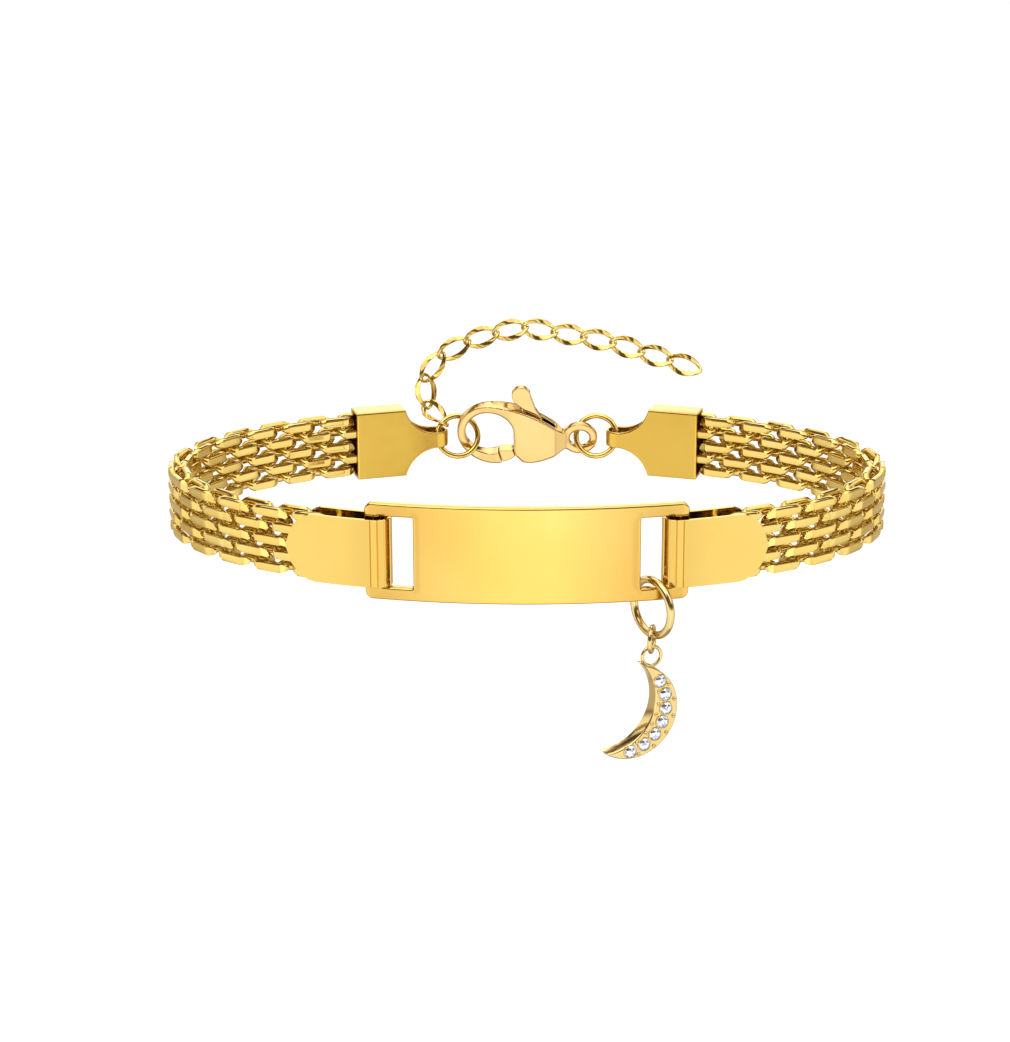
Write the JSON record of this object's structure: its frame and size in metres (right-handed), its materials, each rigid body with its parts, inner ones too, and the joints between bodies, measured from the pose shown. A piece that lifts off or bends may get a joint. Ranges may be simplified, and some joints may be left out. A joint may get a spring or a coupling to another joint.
{
  "type": "nameplate bracelet",
  "caption": "Worn bracelet with a curved blank plate, woven metal bands folded through its slots, a lobster clasp with an extension chain, and a stone-set crescent drop.",
  "frame": {"origin": "centre of the wrist hollow, at the middle of the band's height", "axes": "+Z across the band, up when the plate is read upright; -Y from the hollow out through the plate's face; +X to the right seen from the front"},
  "size_m": [0.068, 0.0448, 0.0304],
  "materials": {
    "plate_gold": "mirror polished yellow gold plating over steel",
    "sheet_gold": "polished yellow gold plating on folded sheet and round wire",
    "chain_gold": "polished yellow gold plating, outer strands ground flat and bright",
    "clasp_gold": "cast, tumbled and polished yellow gold plating",
    "drop_gold": "polished paler gold plating",
    "stone": "clear, cut and polished"
  },
  "bodies": {
    "bracelet": {"nameplate": "plate_gold", "connector_left": "sheet_gold", "connector_right": "sheet_gold", "mesh_left": "chain_gold", "mesh_right": "chain_gold", "end_cap_left": "sheet_gold", "end_cap_right": "sheet_gold", "jump_ring_left": "sheet_gold", "jump_ring_right": "sheet_gold", "clasp_body": "clasp_gold", "extension_link_01": "chain_gold", "extension_link_02": "chain_gold", "extension_link_03": "chain_gold", "extension_link_04": "chain_gold", "extension_link_05": "chain_gold", "extension_link_06": "chain_gold", "extension_link_07": "chain_gold", "extension_link_08": "chain_gold", "extension_link_09": "chain_gold", "extension_link_10": "chain_gold", "extension_link_11": "chain_gold", "extension_link_12": "chain_gold"},
    "lever": {"clasp_lever": "clasp_gold"},
    "drop": {"drop_ring": "drop_gold", "link_ring": "drop_gold"},
    "charm": {"charm": "drop_gold", "stone_1": "stone", "stone_2": "stone", "stone_3": "stone", "stone_4": "stone", "stone_5": "stone", "stone_6": "stone", "stone_7": "stone"}
  },
  "joints": [
    {"name": "lever_open", "type": "hinge", "parent": "bracelet", "child": "lever", "pos_m": [0.0017, 0.01935, -0.00086], "axis": [0, 0.9511, 0.309], "range_deg": [0, 24], "stiffness_Nm_per_rad": 0.0002, "springref_deg": -5.73},
    {"name": "drop_swing", "type": "hinge", "parent": "bracelet", "child": "drop", "pos_m": [0.0112, -0.01775, -0.0033], "axis": [1, 0, 0], "range_deg": [-12, 12]},
    {"name": "charm_swing", "type": "hinge", "parent": "drop", "child": "charm", "pos_m": [0.0112, -0.01775, -0.00991], "axis": [0.4067, -0.9135, 0], "range_deg": [-15, 15]}
  ]
}
